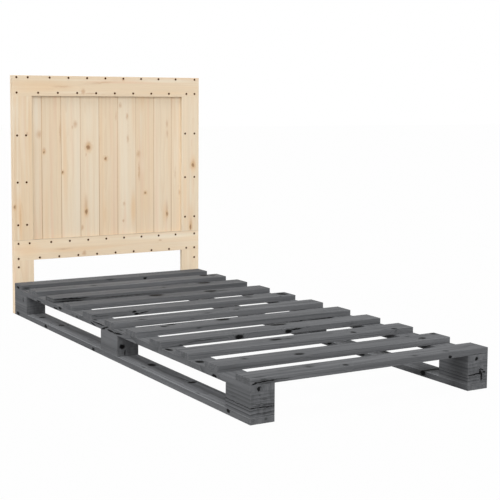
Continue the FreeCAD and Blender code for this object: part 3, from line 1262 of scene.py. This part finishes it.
@dataclass
class HeadboardFrame:
    """The boards on the headboard's front, and the two posts behind them, which keep their CAD shape."""

    rounding: float = 0.6
    cad_shapes: tuple[str, ...] = ("headboard_post_left", "headboard_post_right")
    rail_knots: dict[str, Knots] = fixed({
        "headboard_top_rail": (
            Knot(-126, -24, 9, 12, FACE, 0.1),
            Knot(-92, -30, 34, 3, FACE, 0.4),
            Knot(66, 30, 8, 7, FACE, 0.3),
            Knot(-225, -2, 62, 6, FACE, 0.6),
            Knot(-40, 16, 100, 6, FACE, 0.65, 0.08),
        ),
        "headboard_lower_rail": (
            Knot(-126, -28, 9, 11, FACE, 0.1),
            Knot(-225, -4, 62, 6, FACE, 0.65),
            Knot(250, 8, 8, 6, FACE, 0.4),
        ),
    })
    upright_knots: dict[str, Knots] = fixed({
        "headboard_stile_left": (
            Knot(-166, -39, 7, 5),
            Knot(150, 20, 12, 6, FACE, 0.5),
            Knot(-215, -15, 70, 5, FACE, 0.6),
        ),
        "headboard_stile_right": (
            Knot(-5, 14, 9, 8),
            Knot(8, 15, 15, 9, FACE, 0.35),
            Knot(-294, 2, 13, 5),
            Knot(-280, 3, 36, 8, FACE, 0.4),
        ),
        "headboard_leg_left": (),
        "headboard_leg_right": (Knot(-30, 18, 7, 5, FACE, 0.4),),
        "headboard_post_left": (Knot(130, 6, 9, 6), Knot(-290, -8, 8, 5)),
        "headboard_post_right": (Knot(-60, -5, 9, 6), Knot(320, 8, 7, 5)),
    })
    rail_cut: Cut = Cut(heart_across=14.0, heart_through=30.0, ring=5.5, drift=0.045)
    usual_tone: float = 0.1
    usual_painted_light_gain: float = 1.0
    # Painted shade on the edges where the planks meet the left stile and the lower rail.
    painted_corner_shades: dict[str, float] = fixed({
        "headboard_stile_left": 0.3,
        "headboard_lower_rail": 0.5,
    })
    tones: dict[str, float] = fixed({
        "headboard_stile_left": -0.6,
        "headboard_stile_right": 0.6,
        "headboard_lower_rail": 0.2,
        "headboard_leg_left": 0.2,
        "headboard_leg_right": 0.3,
    })
    streaks: dict[str, Streaks] = fixed({
        "headboard_top_rail": (
            amber(-330, -5, 150, 26, 0.55),
            amber(280, -28, 110, 8, 0.25),
            pale(280, 28, 180, 10, 0.9),
        ),
        "headboard_lower_rail": (
            amber(-390, 0, 60, 30, 0.5),
            amber(-140, -6, 240, 10, 0.55),
            pale(-200, 26, 70, 8, 0.3),
            pale(280, 26, 190, 11, 1.0),
        ),
        "headboard_stile_left": (
            amber(-220, -15, 110, 9, 1.0),
            amber(-180, -30, 80, 12, 0.5),
            amber(180, 32, 160, 8, 0.5),
            amber(300, -32, 40, 10, 0.4),
            pale(170, 2, 160, 12, 0.35),
        ),
        "headboard_stile_right": (
            amber(0, 14, 40, 18, 0.7),
            amber(-150, -28, 160, 8, 0.4),
            amber(-250, -2, 70, 14, 0.5),
            pale(170, 28, 150, 10, 0.4),
            pale(180, -2, 150, 10, 0.3),
            pale(-170, 32, 160, 8, 0.45),
            # Painted light: this pale strip on the inner side face lightens it against the shade of the
            # corner with the planks.
            pale(0, -42, 400, 2, 0.8),
        ),
    })
    # Painted light on the lower rail and the legs, which get less light low on the headboard.
    painted_light_gains: dict[str, float] = fixed({
        "headboard_lower_rail": 1.06,
        "headboard_leg_left": 1.05,
        "headboard_leg_right": 1.06,
    })

    def build(self) -> list[bpy.types.Object]:
        """Makes all the boards and dresses them.

        Returns:
            The pieces.
        """
        made = []
        groups = ((Lie.LEVEL, self.rail_knots, self.rail_cut), (Lie.UPRIGHT, self.upright_knots, None))
        for lie, knots_of, cut in groups:
            for name, knots in knots_of.items():
                board = Board(name, lie, PLAIN_PINE, self.rounding, knots, cut)
                board.other = self.tones.get(name, self.usual_tone)
                board.painted_corner_shade = self.painted_corner_shades.get(name, 0.0)
                board.gain = self.painted_light_gains.get(name, self.usual_painted_light_gain)
                board.streaks = self.streaks.get(name, ())
                if name in self.cad_shapes:
                    made.append(dress_node(name, PLAIN_PINE.dress(board)))
                else:
                    made.append(board.build())
        return made


@dataclass
class Plank(Board):
    """A tongue-and-groove plank between its two joints. Sizes are in mm."""

    left: float = 0.0
    width: float = 90.0
    has_groove: bool = True
    has_tongue: bool = True
    tongue: float = 5.0
    tongue_thickness: float = 4.0
    clearance: float = 0.2
    seam: float = 0.7
    seam_segments: int = 2

    def __post_init__(self) -> None:
        """Takes the plank's place from its CAD node, without the tongue."""
        super().__post_init__()
        self.low.x = self.left * MM
        self.high.x = (self.left + self.width) * MM
        self.halves = self.lie.halves(self.high - self.low)

    def shape(self) -> bmesh.types.BMesh:
        """Gives the plank a V at each seam, a groove on its left and a tongue on its right.

        Returns:
            The plank's mesh.
        """
        mesh = blank(self.low, self.high)
        middle = (self.low + self.high) / 2
        corners = [edge for edge in mesh.edges if abs((edge.verts[0].co - edge.verts[1].co).z) > NEAR]
        round_edges(mesh, corners, self.seam, self.seam_segments)
        half = self.tongue_thickness / 2
        if self.has_tongue:
            self.shift_strip(mesh, middle, half, 1, self.tongue)
        if self.has_groove:
            self.shift_strip(mesh, middle, half + self.clearance, -1, self.tongue + self.clearance)
        return mesh

    @staticmethod
    def shift_strip(
        mesh: bmesh.types.BMesh, middle: Vector, half: float, side: int, shift: float
    ) -> None:
        """Moves the middle strip of one edge to the right, as a tongue or as a groove.

        Args:
            mesh: the plank's mesh.
            middle: the plank's middle.
            half: half the strip's thickness, in mm.
            side: 1 for the right edge, -1 for the left edge.
            shift: how far the strip goes, in mm.
        """
        for offset in (-half, half):
            slice_mesh(mesh, middle + Vector((0, offset * MM, 0)), Vector((0, 1, 0)))
        strip = [
            face
            for face in mesh.faces
            if face.normal.x * side > SAME_WAY and abs(face.calc_center_median().y - middle.y) < half * MM
        ]
        outermost = max(face.calc_center_median().x * side for face in strip)
        strip = [face for face in strip if face.calc_center_median().x * side > outermost - NEAR]
        push_faces(mesh, strip, Vector((shift * MM, 0, 0)))


@dataclass
class HeadboardPlanks:
    """The upright planks behind the headboard's frame, counted from the left. Sizes are in mm."""

    first_left: float = -405.0
    width: float = 90.0
    joint_widths: tuple[float, ...] = (3.0, 2.9, 2.2, 2.6, 2.4, 1.8, 2.0, 2.4, 2.2)
    tones: tuple[float, ...] = (0.0, 0.1, 1.0, 0.7, 0.1, 1.0, 0.0, 0.65, 0.4)
    knots: dict[int, Knots] = fixed({
        1: (
            Knot(146, 34, 21, 17, FACE, 0.4),
            Knot(-150, -20, 90, 6, FACE, 0.5),
        ),
        2: (
            Knot(68, -35, 6, 4.5),
            Knot(78, -34, 13, 10, FACE, 0.35),
            Knot(150, 41, 62, 3.4, FACE, 0.2),
        ),
        3: (
            Knot(-23, -40, 6, 5),
            Knot(189, 21, 18, 11, FACE, 0.35),
            Knot(176, 8, 10, 5, FACE, 0.4),
        ),
        4: (
            Knot(85, -7, 11, 10),
            Knot(100, -6, 15, 12, FACE, 0.3),
            Knot(54, -19, 10, 4, FACE, 0.4),
            Knot(-201, -18, 12, 6),
            Knot(-175, -19, 60, 12, FACE, 0.5),
            Knot(-271, -38, 14, 7, FACE, 0.3),
        ),
        5: (
            Knot(34, -14, 7, 6),
            Knot(225, 38, 28, 5, FACE, 0.5),
        ),
        6: (
            Knot(222, 2, 18, 6, FACE, 0.3),
            Knot(122, 5, 26, 8, FACE, 0.55),
            Knot(272, -32, 16, 9, FACE, 0.45),
            Knot(-173, -13, 14, 9, FACE, 0.5),
            Knot(-250, -18, 6, 5, FACE, 0.1),
        ),
        7: (
            Knot(-127, 2, 6, 5),
            Knot(-28, -29, 40, 4, FACE, 0.05),
            Knot(52, -32, 20, 12, FACE, 0.35),
        ),
        8: (
            Knot(-229, 23, 9, 4),
            Knot(-215, 22, 60, 8, FACE, 0.45),
            Knot(189, 23, 22, 6, FACE, 0.4),
            Knot(143, 24, 24, 6, FACE, 0.4),
        ),
        9: (
            Knot(-130, -2, 18, 6, FACE, 0.4),
            Knot(-40, -25, 34, 4, FACE, 0.5),
        ),
    })
    streaks: dict[int, Streaks] = fixed({
        1: (pale(240, 24, 130, 16, 1.0), pale(-80, 20, 200, 12, 0.4)),
        2: (amber(-200, -30, 150, 12, 0.35), amber(60, 36, 220, 6, 0.25)),
        3: (amber(40, -30, 260, 12, 0.55), pale(-20, 30, 330, 13, 0.8)),
        4: (amber(-200, -28, 90, 12, 0.4), pale(-60, 5, 140, 9, 0.6), pale(200, -5, 80, 16, 0.5)),
        5: (
            amber(0, -34, 330, 10, 0.4),
            amber(-220, -20, 80, 16, 0.4),
            pale(20, 34, 300, 8, 0.25),
            pale(0, 8, 120, 8, 0.25),
        ),
        6: (
            amber(-80, -36, 220, 8, 0.35),
            amber(240, 36, 120, 10, 0.4),
            amber(-200, 32, 80, 13, 0.85),
            pale(-160, 2, 100, 10, 0.5),
            pale(-300, -8, 50, 12, 0.5),
        ),
        7: (
            amber(300, -14, 60, 14, 0.5),
            amber(-170, 5, 60, 30, 0.25),
            amber(-60, 38, 200, 7, 0.3),
            pale(0, -10, 40, 12, 0.3),
        ),
        8: (
            amber(60, 36, 160, 8, 0.3),
            amber(-225, 8, 50, 10, 0.5),
            pale(-150, -22, 220, 16, 0.4),
        ),
        9: (amber(180, -22, 100, 8, 0.3), pale(80, 2, 200, 6, 0.3)),
    })

    def build(self) -> list[bpy.types.Object]:
        """Makes all the planks and dresses them.

        Returns:
            The pieces.
        """
        made = []
        for number, knots in self.knots.items():
            plank = Plank(
                f"headboard_plank_{number}",
                Lie.UPRIGHT,
                PLAIN_PINE,
                rounding=0.0,
                knots=knots,
                other=self.tones[number - 1],
                joint_width=self.joint_widths[number - 1],
                left=self.first_left + (number - 1) * self.width,
                width=self.width,
                has_groove=number > 1,
                has_tongue=number < len(self.knots),
                streaks=self.streaks[number],
            )
            made.append(plank.build())
        return made


@dataclass
class Screws:
    """A group of wood screws with a cross recess, placed as their CAD node has them. Sizes are in mm.

    The recess's depth is a share of how far the head stands proud. Its half width and half length are
    shares of the head's radius, and its floor and the screw's point are shares of what is above them.
    CAD vertices that are at the same depth, and within the same_head share of a head, are one head's.
    """

    node: str
    inward: Vector
    finish: SteelFinish
    head: float
    shank: float
    proud: float
    sides: int = 16
    recess: float = 0.75
    recess_width: float = 0.15
    recess_length: float = 0.5
    recess_floor: float = 0.55
    point: float = 0.15
    same_depth: float = 0.1
    same_head: float = 1.3

    def places(self) -> tuple[list[Vector], float]:
        """Finds the screws of the CAD node.

        Returns:
            The middles of the heads, and the length of the screws in mm.
        """
        points = [vert.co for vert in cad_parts[self.node].data.vertices]
        depths = [point.dot(self.inward) for point in points]
        nearest = min(depths)
        groups: list[list[Vector]] = []
        reach = self.same_head * self.head * MM
        for point, depth in zip(points, depths):
            if depth - nearest > self.same_depth * MM:
                continue
            group = next((group for group in groups if (group[0] - point).length < reach), None)
            if group is None:
                groups.append([point])
            else:
                group.append(point)
        middles = [
            Vector([(min(p[axis] for p in group) + max(p[axis] for p in group)) / 2 for axis in range(3)])
            for group in groups
        ]
        return middles, (max(depths) - nearest) / MM

    def pattern(self, length: float) -> bpy.types.Mesh:
        """One screw at the origin with its tip up the Z axis.

        Args:
            length: from the head's face to the tip, in mm.

        Returns:
            The screw's mesh.
        """
        mesh = bmesh.new()
        radius = self.head / 2 * MM
        bmesh.ops.create_circle(mesh, cap_ends=True, radius=radius, segments=self.sides)
        taper = (self.head - self.shank) / 2
        steps = (
            (self.shank / self.head, taper),
            (1.0, length - self.head),
            (self.point, self.head - taper),
        )
        ring = mesh.edges[:]
        for scale, shift in steps:
            made = bmesh.ops.extrude_edge_only(mesh, edges=ring)["geom"]
            self.draw_ring(mesh, made, scale, shift)
            ring = [part for part in made if isinstance(part, bmesh.types.BMEdge) and part.is_boundary]
        bmesh.ops.holes_fill(mesh, edges=ring, sides=0)
        self.sink_recess(mesh, radius)
        bmesh.ops.recalc_face_normals(mesh, faces=mesh.faces)
        data = bpy.data.meshes.new(f"{self.node}_pattern")
        mesh.to_mesh(data)
        mesh.free()
        return data

    def sink_recess(self, mesh: bmesh.types.BMesh, radius: float) -> None:
        """Sinks the cross recess into the head.

        Args:
            mesh: the screw's mesh.
            radius: the head's radius, in metres.
        """
        arm = self.recess_width * radius
        tip = self.recess_length * radius
        for reach in (-tip, -arm, arm, tip):
            for axis in (Vector((1, 0, 0)), Vector((0, 1, 0))):
                top = [face for face in mesh.faces if abs(face.calc_center_median().z) < HAIR]
                edges = {edge for face in top for edge in face.edges}
                verts = {vert for face in top for vert in face.verts}
                geometry = [*top, *edges, *verts]
                bmesh.ops.bisect_plane(mesh, geom=geometry, dist=HAIR, plane_co=axis * reach, plane_no=axis)
        recess = []
        for face in mesh.faces:
            middle = face.calc_center_median()
            narrow, wide = sorted((abs(middle.x), abs(middle.y)))
            if abs(middle.z) < HAIR and narrow < arm and wide < tip:
                recess.append(face)
        verts = push_faces(mesh, recess, Vector((0, 0, self.recess * self.proud * MM)))
        bmesh.ops.scale(mesh, vec=(self.recess_floor, self.recess_floor, 1), verts=verts)

    @staticmethod
    def draw_ring(mesh: bmesh.types.BMesh, made: list, scale: float, shift: float) -> None:
        """Scales an extruded ring about the screw's axis and moves it down the screw.

        Args:
            mesh: the screw's mesh.
            made: what the extrusion made.
            scale: the new radius over the old one.
            shift: how far it moves, in mm.
        """
        verts = [part for part in made if isinstance(part, bmesh.types.BMVert)]
        bmesh.ops.scale(mesh, vec=(scale, scale, 1), verts=verts)
        bmesh.ops.translate(mesh, vec=(0, 0, shift * MM), verts=verts)

    def build(self) -> bpy.types.Object:
        """Makes the group as one piece and dresses it.

        Returns:
            The piece.
        """
        places, length = self.places()
        pattern = self.pattern(length)
        dice = random.Random(self.node)
        upright = Vector((0, 0, 1)).rotation_difference(self.inward).to_matrix().to_4x4()
        mesh = bmesh.new()
        for place in places:
            before = len(mesh.verts)
            mesh.from_mesh(pattern)
            mesh.verts.ensure_lookup_table()
            turn = Matrix.Rotation(dice.uniform(0, math.pi), 4, "Z")
            spot = Matrix.Translation(place - self.inward * self.proud * MM)
            bmesh.ops.transform(mesh, matrix=spot @ upright @ turn, verts=mesh.verts[before:])
        bpy.data.meshes.remove(pattern)
        piece = finished_piece(mesh, f"{self.node}_steel", self.finish.slot, self.node)
        piece.data.materials.append(self.finish.dress(self.node))
        LOG.info("%s: %d screws", piece.name, len(places))
        return piece


@dataclass
class Fasteners:
    """All the screws, and the bolts and inserts that keep their CAD shape. Sizes are in mm."""

    panel_head: float = 9.5
    panel_shank: float = 4.0
    base_head: float = 8.5
    base_shank: float = 4.5
    proud: float = 0.7
    floor_proud: float = 0.1

    def build(self) -> list[bpy.types.Object]:
        """Makes the groups of screws and dresses the nodes that stay.

        Returns:
            The pieces and the nodes.
        """
        back = Vector((0, 1, 0))
        up = Vector((0, 0, 1))
        made = []
        for name in ("headboard_rail_screws", "headboard_stile_screws", "headboard_leg_screws"):
            group = Screws(name, back, DARK_STEEL, self.panel_head, self.panel_shank, self.proud)
            made.append(group.build())
        for name, proud in (("slat_screws", self.proud), ("runner_screws", self.floor_proud)):
            group = Screws(name, up, ZINC_STEEL, self.base_head, self.base_shank, proud)
            made.append(group.build())
        for name in ("headboard_bolts", "headboard_bolt_inserts"):
            made.append(dress_node(name, ZINC_STEEL.dress(name)))
        return made


@dataclass(frozen=True)
class Lamp:
    """A large soft lamp, so far off that its light is the same all over. The spread is in degrees."""

    name: str
    come_from: Triple
    strength: float
    spread: float

    def hang(self) -> None:
        """Hangs the lamp."""
        lamp = bpy.data.lights.new(self.name, "SUN")
        lamp.energy = self.strength
        lamp.angle = math.radians(self.spread)
        hung = bpy.data.objects.new(self.name, lamp)
        bpy.context.scene.collection.objects.link(hung)
        hung.rotation_euler = Vector(self.come_from).to_track_quat("Z", "Y").to_euler()


@dataclass
class Studio:
    """A plain pale floor, soft light and the camera. Lengths are in metres and angles in degrees."""

    eye: Triple = (-2.1399, -3.8555, 0.9394)
    yaw: float = 30.674
    pitch: float = 5.455
    roll: float = 0.364
    lens: float = 84.49
    lens_shift: float = -0.08
    floor_size: float = 60.0
    floor_level: float = -0.0005
    floor_colour: Colour = (0.40, 0.40, 0.40)
    floor_white: float = 0.98
    sky: float = 0.47
    lamps: tuple[Lamp, ...] = (
        Lamp("front", (-0.24, -1.00, 0.36), 1.44, 45.0),
        Lamp("left", (-1.00, 0.00, 0.66), 0.80, 38.0),
        Lamp("top", (-0.30, -0.20, 1.00), 1.43, 40.0),
        Lamp("back", (0.00, 1.00, 0.05), 0.95, 36.0),
        Lamp("right", (1.00, 0.00, 0.05), 0.75, 36.0),
    )

    def build(self) -> None:
        """Makes the floor, the sky, the lamps and the camera."""
        self.lay_floor()
        self.light_sky()
        for lamp in self.lamps:
            lamp.hang()
        self.set_camera()
        bpy.context.scene.view_settings.view_transform = "Standard"

    @staticmethod
    def seen_directly(tree: Tree) -> Link:
        """Tells what the camera sees from light on the object.

        Args:
            tree: the tree to add to.

        Returns:
            1 for what the camera sees, also in a mirror or through glass, and 0 for light.
        """
        seen = tree.node("ShaderNodeLightPath", {}, {}, "Is Camera Ray")
        for ray in ("Is Glossy Ray", "Is Transmission Ray"):
            seen = seen.most(tree.node("ShaderNodeLightPath", {}, {}, ray))
        return seen

    def lay_floor(self) -> None:
        """Lays a floor that looks white and keeps a faint shadow."""
        mesh = bmesh.new()
        bmesh.ops.create_grid(mesh, x_segments=1, y_segments=1, size=self.floor_size / 2)
        bmesh.ops.translate(mesh, vec=(0, 0, self.floor_level), verts=mesh.verts)
        data = bpy.data.meshes.new("floor")
        mesh.to_mesh(data)
        mesh.free()
        floor = bpy.data.objects.new("floor", data)
        bpy.context.scene.collection.objects.link(floor)
        material = bpy.data.materials.new("floor_paint")
        tree = Tree(material)
        paint = tree.node("ShaderNodeBsdfDiffuse", {}, {"Color": self.floor_colour})
        white = tree.node("ShaderNodeEmission", {}, {"Color": WHITE, "Strength": 1.0})
        share = self.seen_directly(tree) * self.floor_white
        shader = tree.node("ShaderNodeMixShader", {}, {0: share, 1: paint, 2: white})
        tree.node("ShaderNodeOutputMaterial", {}, {"Surface": shader})
        data.materials.append(material)

    def light_sky(self) -> None:
        """Lights the scene evenly from all round, and shows white."""
        world = bpy.data.worlds.new("studio")
        bpy.context.scene.world = world
        tree = Tree(world)
        strength = self.seen_directly(tree) * (1.0 - self.sky) + self.sky
        shader = tree.node("ShaderNodeBackground", {}, {"Color": WHITE, "Strength": strength})
        tree.node("ShaderNodeOutputWorld", {}, {"Surface": shader})

    def set_camera(self) -> None:
        """Sets up the camera."""
        data = bpy.data.cameras.new("camera")
        data.lens = self.lens
        data.shift_y = self.lens_shift
        camera = bpy.data.objects.new("camera", data)
        bpy.context.scene.collection.objects.link(camera)
        heading = Matrix.Rotation(-math.radians(self.yaw), 4, "Z")
        tilt = Matrix.Rotation(math.radians(90 - self.pitch), 4, "X")
        lean = Matrix.Rotation(math.radians(self.roll), 4, "Z")
        camera.matrix_world = Matrix.Translation(self.eye) @ heading @ tilt @ lean
        bpy.context.scene.camera = camera


def main() -> None:
    """Builds the sub-assemblies in order, then the studio round them."""
    logging.basicConfig(level=logging.INFO, format="%(message)s")
    for assembly in (Runners(), Slats(), HeadboardFrame(), HeadboardPlanks(), Fasteners()):
        pieces = assembly.build()
        LOG.info("%s: %d pieces", type(assembly).__name__, len(pieces))
    Studio().build()


if __name__ == "__main__":
    main()
